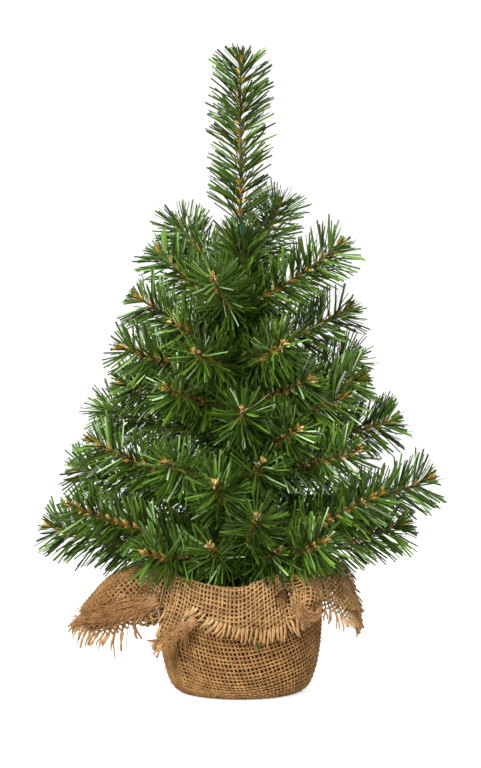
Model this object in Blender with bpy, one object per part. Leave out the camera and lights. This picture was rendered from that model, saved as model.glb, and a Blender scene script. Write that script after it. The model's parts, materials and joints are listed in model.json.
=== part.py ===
"""Artificial tabletop tree, 450 mm tall: a weighted burlap base, a taped trunk and hand-bent wire branches.

Metres, +Z up, the trunk on the Z axis and the sack's flat underside on z = 0. The front is -Y.
Every branch is a twisted-wire core that bends where it leaves the trunk's tape.
"""

import math

import bmesh
import bpy
from mathutils import Matrix, Vector

# Shared fit
GAP = 0.0003  # clearance between pieces that touch
BASE_SIDES = 40
TRUNK_SIDES = 20
SHARP_ANGLE = math.radians(35)  # edges sharper than this stay crisp
MERGE = 1e-7  # points nearer to each other than this are one point

# Plastic bowl that holds the cement
BOWL_RADIUS = 0.0545
BOWL_HEIGHT = 0.0560
BOWL_SHAPE = (  # its outside from the edge of its flat foot to its rim, as shares of radius and height
    (0.70, 0.00),
    (0.79, 0.04),
    (0.87, 0.15),
    (0.95, 0.43),
    (0.99, 0.75),
    (1.00, 1.00),
)
BOWL_WALL = 0.0012
CEMENT_BELOW_RIM = 0.0120
CEMENT_UNDER_SOCKET = 0.0040  # cement left between the trunk socket and the bowl

# Burlap sack with its turned-down cuff
CLOTH = 0.0020
COLLAR_RISE = 0.0235  # crest of the turned-down cuff above the bowl's rim
COLLAR_LEAN = 0.0050  # how far the collar leans in between the rim and the crest
# Cuff around the mouth: azimuth in degrees, how far the hem hangs below the crest, and how far out from it
CUFF = (
    (0, 0.032, 0.032),
    (22, 0.020, 0.036),
    (38, 0.008, 0.034),
    (55, 0.016, 0.022),
    (90, 0.026, 0.016),
    (130, 0.028, 0.018),
    (158, 0.016, 0.037),
    (174, 0.025, 0.056),
    (186, 0.032, 0.062),
    (195, 0.037, 0.053),
    (204, 0.034, 0.033),
    (213, 0.024, 0.016),
    (225, 0.040, 0.027),
    (234, 0.026, 0.016),
    (250, 0.024, 0.013),
    (286, 0.031, 0.014),
    (303, 0.028, 0.013),
    (312, 0.025, 0.018),
    (333, 0.020, 0.014),
    (347, 0.028, 0.026),
)
CREST_START = 0.55  # share of the collar's rise at which the cloth starts to turn over
CUFF_STEPS = 7
CUFF_HANDLE_IN = 0.35  # share of the spread by which the hem's handle stands in from it
CUFF_HANDLE_UP = 0.95  # share of the hang by which it stands above it
TWINE_RADIUS = 0.0008
TWINE_SIDES = 8
TWINE_BELOW_RIM = 0.0015

# Trunk
ROD_RADIUS = 0.0015
SOCKET_WALL = 0.0030
SOCKET_RISE = 0.0140  # how far the socket stands out of the cement
TAPE_TOP = 0.3160
TAPE_RADIUS_LOW = 0.0070
TAPE_RADIUS_HIGH = 0.0045
TAPE_TIERS = 3
ROD_ABOVE_TAPE = 0.0040
FERRULE_WALL = 0.0006
FERRULE_HEIGHT = 0.0105
FERRULE_DOME = 0.0015  # height of its rounded end
LEADER_LENGTH = 0.1170

# Twisted-wire cores of the branches
CORE_RADIUS = 0.0009
CORE_OVAL = 0.28  # how far the two wires flatten the section, as a share of the radius
CORE_SIDES = 6
CORE_STEPS = 12
CORE_TWIST = math.radians(60)  # turn of the section from one step to the next
TIP_TAPER = 0.55  # share of the radius at the cut tip
ROOT_BACK = 0.75  # where the rounded root ends, and its radius there, as shares of the core's radius
ROOT_TAPER = 0.65
BRANCH_CURL = math.radians(16)  # how much a branch sweeps up between its root and its tip

# Branches, tier by tier from the bottom: azimuth in degrees, root's place up the taped trunk as a share of it,
# rise in degrees and reach in metres. Azimuth 0 points to +X and 270 to the front.
BRANCHES = (
    ("low", 182, 0.135, 10, 0.128),
    ("low", 200, 0.160, 16, 0.120),
    ("low", 222, 0.135, 6, 0.080),
    ("low", 250, 0.110, 20, 0.055),
    ("low", 278, 0.145, 24, 0.080),
    ("low", 295, 0.105, 18, 0.055),
    ("low", 312, 0.125, 14, 0.080),
    ("low", 333, 0.175, 21, 0.105),
    ("low", 350, 0.135, 13, 0.110),
    ("low", 3, 0.215, 15, 0.130),
    ("low", 38, 0.155, 12, 0.105),
    ("low", 76, 0.135, 12, 0.100),
    ("low", 112, 0.155, 14, 0.100),
    ("low", 146, 0.140, 12, 0.110),
    ("second", 192, 0.305, 22, 0.105),
    ("second", 236, 0.330, 14, 0.085),
    ("second", 258, 0.250, 20, 0.080),
    ("second", 286, 0.320, 26, 0.050),
    ("second", 325, 0.370, 11, 0.090),
    ("second", 56, 0.310, 16, 0.095),
    ("second", 94, 0.310, 16, 0.090),
    ("second", 129, 0.305, 16, 0.095),
    ("second", 166, 0.330, 5, 0.115),
    ("third", 9, 0.435, 10, 0.105),
    ("third", 305, 0.420, 18, 0.065),
    ("third", 155, 0.475, 9, 0.105),
    ("third", 339, 0.490, 18, 0.075),
    ("third", 271, 0.490, 13, 0.065),
    ("third", 75, 0.470, 16, 0.085),
    ("third", 120, 0.460, 16, 0.085),
    ("fourth", 229, 0.545, 12, 0.070),
    ("fourth", 318, 0.565, 15, 0.060),
    ("fourth", 356, 0.555, 13, 0.080),
    ("fourth", 172, 0.575, 7, 0.080),
    ("fourth", 28, 0.605, 12, 0.090),
    ("fourth", 102, 0.595, 20, 0.075),
    ("fourth", 136, 0.610, 18, 0.080),
    ("fifth", 204, 0.640, 12, 0.085),
    ("fifth", 246, 0.650, 10, 0.070),
    ("fifth", 294, 0.670, 11, 0.065),
    ("fifth", 16, 0.700, 22, 0.080),
    ("fifth", 188, 0.710, 28, 0.075),
    ("fifth", 218, 0.700, 20, 0.055),
    ("fifth", 78, 0.720, 28, 0.070),
    ("top", 336, 0.830, 30, 0.080),
    ("top", 255, 0.790, 22, 0.070),
    ("top", 162, 0.810, 38, 0.070),
    ("top", 127, 0.875, 35, 0.085),
    ("top", 62, 0.890, 47, 0.080),
)


def principled(name, color, roughness, metallic=0.0):
    """A material with one Principled BSDF."""
    material = bpy.data.materials.new(name)
    material.use_nodes = True
    shader = material.node_tree.nodes["Principled BSDF"]
    shader.inputs["Base Color"].default_value = (*color, 1.0)
    shader.inputs["Roughness"].default_value = roughness
    shader.inputs["Metallic"].default_value = metallic
    material.diffuse_color = (*color, 1.0)
    return material


def finish(name, bm, material):
    """Turns a bmesh into a smooth-shaded object with one material and outward normals."""
    bmesh.ops.remove_doubles(bm, verts=bm.verts, dist=MERGE)
    bmesh.ops.recalc_face_normals(bm, faces=bm.faces)
    mesh = bpy.data.meshes.new(name)
    bm.to_mesh(mesh)
    bm.free()
    mesh.materials.append(material)
    mesh.shade_smooth()
    part = bpy.data.objects.new(name, mesh)
    bpy.context.collection.objects.link(part)
    return part


def turned(name, outline, sides, material, closed=False):
    """A solid of revolution about Z from (radius, height) points, whose ends are on the axis unless closed."""
    bm = bmesh.new()
    verts = [bm.verts.new((r, 0.0, z)) for r, z in outline]
    edges = [bm.edges.new(pair) for pair in zip(verts, verts[1:])]
    if closed:
        edges.append(bm.edges.new((verts[-1], verts[0])))
    bmesh.ops.spin(
        bm,
        geom=verts + edges,
        cent=(0, 0, 0),
        axis=(0, 0, 1),
        angle=math.tau,
        steps=sides,
        use_merge=True,
    )
    bmesh.ops.dissolve_degenerate(bm, dist=MERGE, edges=bm.edges)
    part = finish(name, bm, material)
    part.data.set_sharp_from_angle(angle=SHARP_ANGLE)
    return part


def offset_outline(points, distance):
    """Points moved out along the mitred normals of their polyline, to its right-hand side."""
    moved = []
    count = len(points)
    for i, point in enumerate(points):
        before = Vector(points[i]) - Vector(points[max(i - 1, 0)])
        after = Vector(points[min(i + 1, count - 1)]) - Vector(points[i])
        first = before.normalized() if i > 0 else after.normalized()
        second = after.normalized() if i < count - 1 else first
        normal_a = Vector((first.y, -first.x))
        normal_b = Vector((second.y, -second.x))
        mitre = (normal_a + normal_b).normalized()
        reach = distance / mitre.dot(normal_a)
        moved.append((max(point[0] + mitre.x * reach, 0.0), point[1] + mitre.y * reach))
    return moved


def cut_at_height(points, height):
    """The rising polyline up to a height, with a point made on it there."""
    kept = [points[0]]
    for low, high in zip(points, points[1:]):
        if high[1] >= height:
            share = (height - low[1]) / (high[1] - low[1])
            kept.append((low[0] + (high[0] - low[0]) * share, height))
            return kept
        kept.append(high)
    return kept


# Heights and radii that more than one piece uses
BOWL_FLOOR = CLOTH + GAP
BOWL_RIM = BOWL_FLOOR + BOWL_HEIGHT
BOWL_OUTSIDE = [(0.0, BOWL_FLOOR)]
BOWL_OUTSIDE += [(r * BOWL_RADIUS, BOWL_FLOOR + z * BOWL_HEIGHT) for r, z in BOWL_SHAPE]
CEMENT_FOOT = BOWL_FLOOR + BOWL_WALL + GAP
CEMENT_TOP = BOWL_RIM - CEMENT_BELOW_RIM
BORE_RADIUS = ROD_RADIUS + GAP
SOCKET_RADIUS = BORE_RADIUS + SOCKET_WALL
SOCKET_FLOOR = CEMENT_FOOT + CEMENT_UNDER_SOCKET + GAP
SOCKET_TOP = CEMENT_TOP + SOCKET_RISE
ROD_FOOT = SOCKET_FLOOR + SOCKET_WALL + GAP
ROD_TOP = TAPE_TOP + ROD_ABOVE_TAPE
TAPE_FOOT = SOCKET_TOP + GAP
FERRULE_FOOT = TAPE_TOP + GAP
FERRULE_TOP = FERRULE_FOOT + FERRULE_HEIGHT
FERRULE_RADIUS = BORE_RADIUS + FERRULE_WALL
CORE_REACH = CORE_RADIUS * (1 + CORE_OVAL)  # widest radius of a twisted core


def tape_radius(height):
    """Radius of the taped trunk, which thins as fewer branch wires run inside it."""
    share = (height - TAPE_FOOT) / (TAPE_TOP - TAPE_FOOT)
    return TAPE_RADIUS_LOW + (TAPE_RADIUS_HIGH - TAPE_RADIUS_LOW) * share


def make_bowl():
    inside = offset_outline(BOWL_OUTSIDE, -BOWL_WALL)
    inside = [(r, min(z, BOWL_RIM)) for r, z in inside]
    turned(
        "plastic_bowl",
        inside + list(reversed(BOWL_OUTSIDE)),
        BASE_SIDES,
        principled("bowl_plastic", (0.03, 0.035, 0.03), 0.55),
    )


def make_weight():
    skin = cut_at_height(offset_outline(BOWL_OUTSIDE, -(BOWL_WALL + GAP)), CEMENT_TOP)
    hole = SOCKET_RADIUS + GAP
    hole_floor = SOCKET_FLOOR - GAP
    outline = skin + [(hole, CEMENT_TOP), (hole, hole_floor), (0.0, hole_floor)]
    turned("cement_weight", outline, BASE_SIDES, principled("cement", (0.42, 0.41, 0.39), 0.9))


def make_socket():
    outline = [
        (0.0, SOCKET_FLOOR),
        (SOCKET_RADIUS, SOCKET_FLOOR),
        (SOCKET_RADIUS, SOCKET_TOP),
        (BORE_RADIUS, SOCKET_TOP),
        (BORE_RADIUS, SOCKET_FLOOR + SOCKET_WALL),
        (0.0, SOCKET_FLOOR + SOCKET_WALL),
    ]
    turned("trunk_socket", outline, TRUNK_SIDES, principled("socket_plastic", (0.05, 0.09, 0.04), 0.5))


def make_rod():
    outline = [(0.0, ROD_FOOT), (ROD_RADIUS, ROD_FOOT), (ROD_RADIUS, ROD_TOP), (0.0, ROD_TOP)]
    turned("trunk_rod", outline, TRUNK_SIDES, principled("rod_steel", (0.45, 0.45, 0.46), 0.35, 1.0))


def make_tape():
    """The tape round the trunk, in a few lengths that thin towards the top."""
    material = principled("trunk_tape", (0.08, 0.06, 0.03), 0.7)
    length = (TAPE_TOP - TAPE_FOOT) / TAPE_TIERS
    for tier in range(TAPE_TIERS):
        foot = TAPE_FOOT + tier * length
        top = foot + length - GAP
        outline = [
            (BORE_RADIUS, foot),
            (tape_radius(foot), foot),
            (tape_radius(top), top),
            (BORE_RADIUS, top),
        ]
        turned(f"trunk_tape_{tier + 1}", outline, TRUNK_SIDES, material, closed=True)


def make_ferrule():
    """The small teal cap that joins the leader to the rod."""
    shoulder = FERRULE_TOP - FERRULE_DOME
    diagonal = math.sqrt(0.5)
    outline = [
        (0.0, ROD_TOP + GAP),
        (BORE_RADIUS, ROD_TOP + GAP),
        (BORE_RADIUS, FERRULE_FOOT),
        (FERRULE_RADIUS, FERRULE_FOOT),
        (FERRULE_RADIUS, shoulder),
        (FERRULE_RADIUS * diagonal, shoulder + FERRULE_DOME * diagonal),
        (0.0, FERRULE_TOP),
    ]
    turned("leader_ferrule", outline, TRUNK_SIDES, principled("ferrule_teal", (0.01, 0.16, 0.15), 0.3))


def cuff_at(azimuth):
    """Hang and spread of the cuff at an azimuth, eased between the stations of CUFF."""
    stations = list(CUFF) + [(CUFF[0][0] + 360, *CUFF[0][1:])]
    low, high = next(pair for pair in zip(stations, stations[1:]) if azimuth <= pair[1][0])
    share = (azimuth - low[0]) / (high[0] - low[0])
    ease = share * share * (3 - 2 * share)
    return tuple(a + (b - a) * ease for a, b in zip(low[1:], high[1:]))


def sack_profile(azimuth):
    """The middle of the cloth from under the bowl, up its side, over the crest and down to the hem."""
    body = offset_outline(BOWL_OUTSIDE, GAP + CLOTH / 2)
    rim_radius, rim_height = body[-1]
    hang, spread = cuff_at(azimuth)
    neck = Vector((rim_radius - COLLAR_LEAN, rim_height + COLLAR_RISE * CREST_START))
    hem = Vector((neck.x + spread, rim_height + COLLAR_RISE - hang))
    handles = (
        neck,
        neck + Vector((0.0, COLLAR_RISE)),
        hem + Vector((-spread * CUFF_HANDLE_IN, hang * CUFF_HANDLE_UP)),
        hem,
    )
    cuff = []
    for step in range(CUFF_STEPS + 1):
        t = step / CUFF_STEPS
        weights = ((1 - t) ** 3, 3 * t * (1 - t) ** 2, 3 * t * t * (1 - t), t**3)
        point = sum((h * w for h, w in zip(handles, weights)), Vector((0.0, 0.0)))
        cuff.append((point.x, point.y))
    return body + cuff


def make_sack():
    bm = bmesh.new()
    rings = []
    for side in range(BASE_SIDES):
        azimuth = 360 * side / BASE_SIDES
        turn = Matrix.Rotation(math.radians(azimuth), 3, "Z")
        outline = sack_profile(azimuth)[1:]
        rings.append([bm.verts.new(turn @ Vector((r, 0.0, z))) for r, z in outline])
    centre = bm.verts.new((0.0, 0.0, CLOTH / 2))
    for ring, after in zip(rings, rings[1:] + rings[:1]):
        bm.faces.new((centre, ring[0], after[0]))
        for k in range(len(ring) - 1):
            bm.faces.new((ring[k], ring[k + 1], after[k + 1], after[k]))
    sack = finish("burlap_sack", bm, principled("burlap", (0.42, 0.27, 0.13), 0.95))
    solidify = sack.modifiers.new("cloth", "SOLIDIFY")
    solidify.thickness = CLOTH
    solidify.offset = 0.0
    solidify.use_even_offset = True


def make_twine():
    """The twine that holds the sack to the bowl, under the cuff."""
    body = offset_outline(BOWL_OUTSIDE, GAP * 2 + CLOTH + TWINE_RADIUS)
    height = BOWL_RIM - TWINE_BELOW_RIM
    radius = cut_at_height(body, height)[-1][0]
    outline = []
    for corner in range(TWINE_SIDES):
        angle = math.tau * corner / TWINE_SIDES
        outline.append((radius + TWINE_RADIUS * math.cos(angle), height + TWINE_RADIUS * math.sin(angle)))
    turned("tie_twine", outline, BASE_SIDES, principled("twine", (0.36, 0.24, 0.12), 0.9), closed=True)


def core_path(length, rise, curl):
    """Points of a wire in the XZ plane that leaves its root at rise - curl / 2 and ends at rise + curl / 2."""
    points = [Vector((0.0, 0.0, 0.0))]
    headings = []
    for step in range(CORE_STEPS):
        heading = rise + curl * ((step + 0.5) / CORE_STEPS - 0.5)
        headings.append(heading)
        along = Vector((math.cos(heading), 0.0, math.sin(heading)))
        points.append(points[-1] + along * (length / CORE_STEPS))
    ring_headings = [headings[0]]
    ring_headings += [(a + b) / 2 for a, b in zip(headings, headings[1:])]
    ring_headings.append(headings[-1])
    return list(zip(points, ring_headings))


def core_mesh(length, rise, curl):
    """Two wires twisted together, with a round root centred on the bend and a cut, tapered tip."""
    bm = bmesh.new()
    path = core_path(length, rise, curl)
    rings = []

    def ring(centre, heading, radius, oval, turn):
        across = Vector((-math.sin(heading), 0.0, math.cos(heading)))
        corners = []
        for k in range(CORE_SIDES):
            angle = math.tau * k / CORE_SIDES
            r = radius * (1 + oval * math.cos(2 * (angle - turn)))
            offset = across * (r * math.cos(angle)) + Vector((0.0, r * math.sin(angle), 0.0))
            corners.append(bm.verts.new(centre + offset))
        rings.append(corners)

    root, root_heading = path[0]
    back = Vector((math.cos(root_heading), 0.0, math.sin(root_heading))) * -CORE_RADIUS
    ring(root + back * ROOT_BACK, root_heading, CORE_RADIUS * ROOT_TAPER, 0.0, 0.0)
    for step, (point, heading) in enumerate(path):
        oval = CORE_OVAL if 0 < step < CORE_STEPS else 0.0
        radius = CORE_RADIUS * (TIP_TAPER if step == CORE_STEPS else 1.0)
        ring(point, heading, radius, oval, CORE_TWIST * step)
    for low, high in zip(rings, rings[1:]):
        for k in range(CORE_SIDES):
            after = (k + 1) % CORE_SIDES
            bm.faces.new((low[k], low[after], high[after], high[k]))
    bm.faces.new(list(reversed(rings[0])))
    bm.faces.new(rings[-1])
    return bm


def make_branch(name, material, pivot, azimuth, length, rise, curl):
    """One branch core under an empty that sits on its bend, turned to the branch's azimuth."""
    empty = bpy.data.objects.new(f"bend_{name}", None)
    empty.empty_display_size = CORE_RADIUS * 4
    empty.location = pivot
    empty.rotation_euler = (0.0, 0.0, math.radians(azimuth))
    bpy.context.collection.objects.link(empty)
    branch = finish(name, core_mesh(length, math.radians(rise), curl), material)
    branch.parent = empty


def make_branches():
    material = principled("branch_wire", (0.10, 0.07, 0.03), 0.6, 0.3)
    in_tier = {}
    for tier, azimuth, place, rise, reach in BRANCHES:
        in_tier[tier] = in_tier.get(tier, 0) + 1
        height = TAPE_FOOT + (TAPE_TOP - TAPE_FOOT) * place
        out = tape_radius(height) + GAP + CORE_REACH
        turn = math.radians(azimuth)
        pivot = (out * math.cos(turn), out * math.sin(turn), height)
        name = f"branch_{tier}_{in_tier[tier]:02d}"
        make_branch(name, material, pivot, azimuth, reach, rise, BRANCH_CURL)
    top = FERRULE_TOP + GAP + CORE_REACH
    make_branch("leader", material, (0.0, 0.0, top), 0, LEADER_LENGTH, 90, 0.0)


def main():
    for old in list(bpy.data.objects):
        bpy.data.objects.remove(old, do_unlink=True)
    make_bowl()
    make_weight()
    make_socket()
    make_rod()
    make_tape()
    make_ferrule()
    make_sack()
    make_twine()
    make_branches()


main()
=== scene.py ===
import math

import bmesh
import bpy
import numpy as np
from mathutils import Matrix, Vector
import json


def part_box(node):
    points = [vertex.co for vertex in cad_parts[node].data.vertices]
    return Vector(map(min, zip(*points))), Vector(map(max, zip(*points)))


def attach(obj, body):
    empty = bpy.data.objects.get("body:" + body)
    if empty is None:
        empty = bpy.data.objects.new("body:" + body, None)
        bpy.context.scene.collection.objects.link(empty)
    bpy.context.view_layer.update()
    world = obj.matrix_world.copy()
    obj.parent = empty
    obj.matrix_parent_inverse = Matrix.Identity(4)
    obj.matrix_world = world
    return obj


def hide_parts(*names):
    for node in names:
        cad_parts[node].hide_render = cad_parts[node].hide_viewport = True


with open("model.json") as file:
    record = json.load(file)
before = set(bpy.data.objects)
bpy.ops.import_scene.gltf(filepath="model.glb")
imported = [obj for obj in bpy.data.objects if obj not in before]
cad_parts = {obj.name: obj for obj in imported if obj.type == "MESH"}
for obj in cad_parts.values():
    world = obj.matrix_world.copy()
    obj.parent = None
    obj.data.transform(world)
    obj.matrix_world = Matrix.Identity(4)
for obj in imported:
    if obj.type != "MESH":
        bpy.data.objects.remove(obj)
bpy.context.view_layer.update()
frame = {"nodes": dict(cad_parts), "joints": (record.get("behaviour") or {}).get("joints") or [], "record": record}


# ---------------------------------------------------------------- The table top and the camera
# A white table, faintly lit from within, in a white room. The camera stands a metre and a half in front of
# the tree, a little above the middle of it.
CAMERA_PLACE = (0.0, -1.5, 0.25)
CAMERA_AIM = (0.0, 0.0, 0.2157)
VIEW_HEIGHT = 0.5376  # height of the view at the tree, in metres
TABLE_RADIUS = 2.4
TABLE_GLOW = 0.72  # light that the camera alone sees the table give


def point_at(thing, place, aim):
    """Puts a camera or lamp at a place, looking along the straight line to another."""
    thing.location = place
    thing.rotation_euler = (Vector(aim) - Vector(place)).to_track_quat("-Z", "Y").to_euler()


lens = bpy.data.cameras.new("photographer")
lens.sensor_fit = "VERTICAL"
lens.sensor_height = 24.0
lens.lens = lens.sensor_height * -CAMERA_PLACE[1] / VIEW_HEIGHT
camera = bpy.data.objects.new("photographer", lens)
bpy.context.collection.objects.link(camera)
point_at(camera, CAMERA_PLACE, CAMERA_AIM)
bpy.context.scene.camera = camera

bpy.ops.mesh.primitive_circle_add(vertices=96, radius=TABLE_RADIUS, fill_type="NGON")
table_top = bpy.context.object
table_top.name = "table_top"
paint = bpy.data.materials.new("white_table")
paint.use_nodes = True
coats = paint.node_tree
white = coats.nodes["Principled BSDF"]
white.inputs["Base Color"].default_value = (0.74, 0.74, 0.74, 1)
white.inputs["Roughness"].default_value = 0.7
white.inputs["Emission Color"].default_value = (1, 1, 1, 1)
glow = coats.nodes.new("ShaderNodeMath")
glow.operation = "MULTIPLY"
glow.inputs[1].default_value = TABLE_GLOW
looked_at = coats.nodes.new("ShaderNodeLightPath")
coats.links.new(looked_at.outputs["Is Camera Ray"], glow.inputs[0])
coats.links.new(glow.outputs["Value"], white.inputs["Emission Strength"])
table_top.data.materials.append(paint)

# ---------------------------------------------------------------- The studio's lamps
# A white room lights the tree from all round, with one broad lamp above and in front.
ROOM_LIGHT = 0.28
WALL_BRIGHTNESS = 1.05  # of the room's wall as the camera sees it
LAMP_AIM = (0.0, 0.0, 0.2)
room = bpy.data.worlds.new("white_room")
room.use_nodes = True
walls = room.node_tree
walls.nodes["Background"].inputs["Color"].default_value = (1.0, 1.0, 1.0, 1.0)
seen = walls.nodes.new("ShaderNodeLightPath")
level = walls.nodes.new("ShaderNodeMapRange")
level.inputs["To Min"].default_value = ROOM_LIGHT
level.inputs["To Max"].default_value = WALL_BRIGHTNESS
walls.links.new(seen.outputs["Is Camera Ray"], level.inputs["Value"])
walls.links.new(level.outputs["Result"], walls.nodes["Background"].inputs["Strength"])
bpy.context.scene.world = room
bpy.context.scene.view_settings.view_transform = "Standard"
for name, place, size, power in (
    ("key_lamp", (-0.60, -1.95, 1.25), 1.1, 124.0),
    ("fill_lamp", (1.2, -1.1, 0.8), 0.9, 10.0),
    ("rim_lamp", (0.4, 1.2, 1.3), 0.8, 4.0),
):
    light = bpy.data.lights.new(name, "AREA")
    light.size = size
    light.energy = power
    lamp = bpy.data.objects.new(name, light)
    bpy.context.collection.objects.link(lamp)
    point_at(lamp, place, LAMP_AIM)


# ---------------------------------------------------------------- The weighted bowl
# A thin dark plastic bowl filled with cement, with a plastic socket cast into it for the trunk.
# All three stay as they are in the frame and get their finish here.
def new_group(name, given, made):
    """An empty group of shader nodes with named sockets, each (name, kind), and its two end nodes."""
    group = bpy.data.node_groups.new(name, "ShaderNodeTree")
    for socket, kind in given:
        group.interface.new_socket(socket, in_out="INPUT", socket_type=f"NodeSocket{kind}")
    for socket, kind in made:
        group.interface.new_socket(socket, in_out="OUTPUT", socket_type=f"NodeSocket{kind}")
    return group, group.nodes.new("NodeGroupInput"), group.nodes.new("NodeGroupOutput")


def two_tone(group, ends, value, low, high):
    """Colour that goes from the group's Low to its High as a value goes from low to high."""
    ranged = group.nodes.new("ShaderNodeMapRange")
    ranged.inputs["From Min"].default_value = low
    ranged.inputs["From Max"].default_value = high
    blend = group.nodes.new("ShaderNodeMix")
    blend.data_type = "RGBA"
    group.links.new(value, ranged.inputs["Value"])
    group.links.new(ranged.outputs["Result"], blend.inputs[0])
    group.links.new(ends.outputs["Low"], blend.inputs[6])
    group.links.new(ends.outputs["High"], blend.inputs[7])
    return blend.outputs[2]


def mottle_group():
    """Soft noise at a place, and the colour between Low and High that it picks."""
    given = (("Place", "Vector"), ("Scale", "Float"), ("Low", "Color"), ("High", "Color"))
    group, ends, result = new_group("mottle", given, (("Color", "Color"), ("Height", "Float")))
    noise = group.nodes.new("ShaderNodeTexNoise")
    noise.inputs["Detail"].default_value = 6.0
    group.links.new(ends.outputs["Place"], noise.inputs["Vector"])
    group.links.new(ends.outputs["Scale"], noise.inputs["Scale"])
    group.links.new(two_tone(group, ends, noise.outputs["Fac"], 0.3, 0.7), result.inputs["Color"])
    group.links.new(noise.outputs["Fac"], result.inputs["Height"])
    return group


def painted(name, group, low, high, roughness, specular, strength, distance):
    """A material whose colour and relief come from a group, which reads the piece's own coordinates. Returned
    with the group's node and its shader."""
    material = bpy.data.materials.new(name)
    material.use_nodes = True
    tree = material.node_tree
    shader = tree.nodes["Principled BSDF"]
    place = tree.nodes.new("ShaderNodeTexCoord")
    surface = tree.nodes.new("ShaderNodeGroup")
    surface.node_tree = group
    surface.inputs["Low"].default_value = (*low, 1)
    surface.inputs["High"].default_value = (*high, 1)
    tree.links.new(place.outputs["Object"], surface.inputs["Place"])
    tree.links.new(surface.outputs["Color"], shader.inputs["Base Color"])
    shader.inputs["Roughness"].default_value = roughness
    shader.inputs["Specular IOR Level"].default_value = specular
    if strength:
        relief = tree.nodes.new("ShaderNodeBump")
        relief.inputs["Strength"].default_value = strength
        relief.inputs["Distance"].default_value = distance
        tree.links.new(surface.outputs["Height"], relief.inputs["Height"])
        tree.links.new(relief.outputs["Normal"], shader.inputs["Normal"])
    return material, surface, shader


mottle = mottle_group()


def mottled(name, low, high, scale, roughness, bump=0.0, metallic=0.0, coat=0.0, specular=0.5):
    """A material whose colour goes from one tone to another with soft noise."""
    material, surface, shader = painted(name, mottle, low, high, roughness, specular, bump, 0.0006)
    surface.inputs["Scale"].default_value = scale
    shader.inputs["Metallic"].default_value = metallic
    shader.inputs["Coat Weight"].default_value = coat
    return material


def dress(node, material):
    """Gives a CAD node one material in place of its plain one."""
    data = frame["nodes"][node].data
    data.materials.clear()
    data.materials.append(material)


bowl_brown = ((0.020, 0.011, 0.004), (0.040, 0.023, 0.010))
dress("plastic_bowl", mottled("bowl_plastic", *bowl_brown, 90, 0.9, 0.2, specular=0.08))
dress("cement_weight", mottled("cement", (0.30, 0.29, 0.27), (0.50, 0.48, 0.45), 160, 0.95, 0.9))
dress("trunk_socket", mottled("socket_plastic", (0.02, 0.05, 0.02), (0.03, 0.07, 0.025), 120, 0.45))


# ---------------------------------------------------------------- The trunk
# A steel rod with the branch wires bunched round it and bound with brown crepe tape, wound upwards
# in a spiral whose turns overlap. A small glossy cap joins the leader's wire to the rod: green plastic,
# coloured teal, its blue a painted reflection.
TAPE_TURN = 0.0105  # height that one turn of the tape climbs
TAPE_LAP = 0.00055  # how far the lap stands proud
TAPE_CREASE = 0.00018  # depth of the creases in the crepe
TAPE_TAPER = 0.92  # share of the sleeve's radius that the tape keeps at the top
TAPE_ROWS, TAPE_COLUMNS = 420, 24


def lay_mesh(name, points, quads, material, smooth=False):
    """A mesh object from whole arrays: points (n, 3) and corner numbers (m, 4)."""
    mesh = bpy.data.meshes.new(name)
    mesh.vertices.add(len(points))
    mesh.vertices.foreach_set("co", np.ascontiguousarray(points, dtype=np.float32).ravel())
    mesh.loops.add(quads.size)
    mesh.loops.foreach_set("vertex_index", np.ascontiguousarray(quads, dtype=np.int32).ravel())
    mesh.polygons.add(len(quads))
    mesh.polygons.foreach_set("loop_start", np.arange(0, quads.size, 4, dtype=np.int32))
    mesh.polygons.foreach_set("use_smooth", np.full(len(quads), smooth))
    mesh.update(calc_edges=True)
    mesh.materials.append(material)
    piece = bpy.data.objects.new(name, mesh)
    bpy.context.collection.objects.link(piece)
    return piece


def grid_quads(rows, columns, wrap):
    """Corner numbers of a rows by columns grid of points, joined end to end across the columns if wrap."""
    across = columns if wrap else columns - 1
    row, column = np.meshgrid(np.arange(rows - 1), np.arange(across), indexing="ij")
    after = (column + 1) % columns
    low, high = row * columns, (row + 1) * columns
    return np.stack([low + column, low + after, high + after, high + column], -1).reshape(-1, 4)


tape_low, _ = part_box("trunk_tape_1")
_, tape_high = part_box("trunk_tape_3")
tape_foot_radius = -tape_low[0]
tape_top_radius = tape_high[0] * TAPE_TAPER
tape_heights = np.linspace(tape_low[2], tape_high[2], TAPE_ROWS)
tape_turns = np.linspace(0, math.tau, TAPE_COLUMNS, endpoint=False)
height, turn = np.meshgrid(tape_heights, tape_turns, indexing="ij")
climb = ((height - tape_low[2]) / TAPE_TURN - turn / math.tau) % 1.0
share = (height - tape_low[2]) / (tape_high[2] - tape_low[2])
radius = tape_foot_radius + (tape_top_radius - tape_foot_radius) * share - TAPE_LAP * climb
radius += TAPE_CREASE * np.sin(turn * 7 + height * 900) * np.sin(height * 2300)
wound = np.stack([radius * np.cos(turn), radius * np.sin(turn), height], -1).reshape(-1, 3)
crepe_tape = mottled("crepe_tape", (0.020, 0.020, 0.008), (0.075, 0.050, 0.022), 260, 0.75, 0.6)
trunk_tape = lay_mesh("wound_tape", wound, grid_quads(TAPE_ROWS, TAPE_COLUMNS, True), crepe_tape, True)
edges = bmesh.new()
edges.from_mesh(trunk_tape.data)
bmesh.ops.holes_fill(edges, edges=[e for e in edges.edges if e.is_boundary])
edges.to_mesh(trunk_tape.data)
edges.free()
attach(trunk_tape, "base")
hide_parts(*[f"trunk_tape_{k}" for k in range(1, 4)])
dress("trunk_rod", mottled("rod_steel", (0.35, 0.35, 0.36), (0.5, 0.5, 0.5), 200, 0.35, metallic=1.0))
# The cap's teal is its green plastic with a painted bluish reflection mixed in.
cap_green_with_painted_reflection = mottled("cap_green_with_painted_reflection", (0.002, 0.035, 0.040), (0.004, 0.070, 0.075), 300, 0.22, coat=0.6)
dress("leader_ferrule", cap_green_with_painted_reflection)


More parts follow.
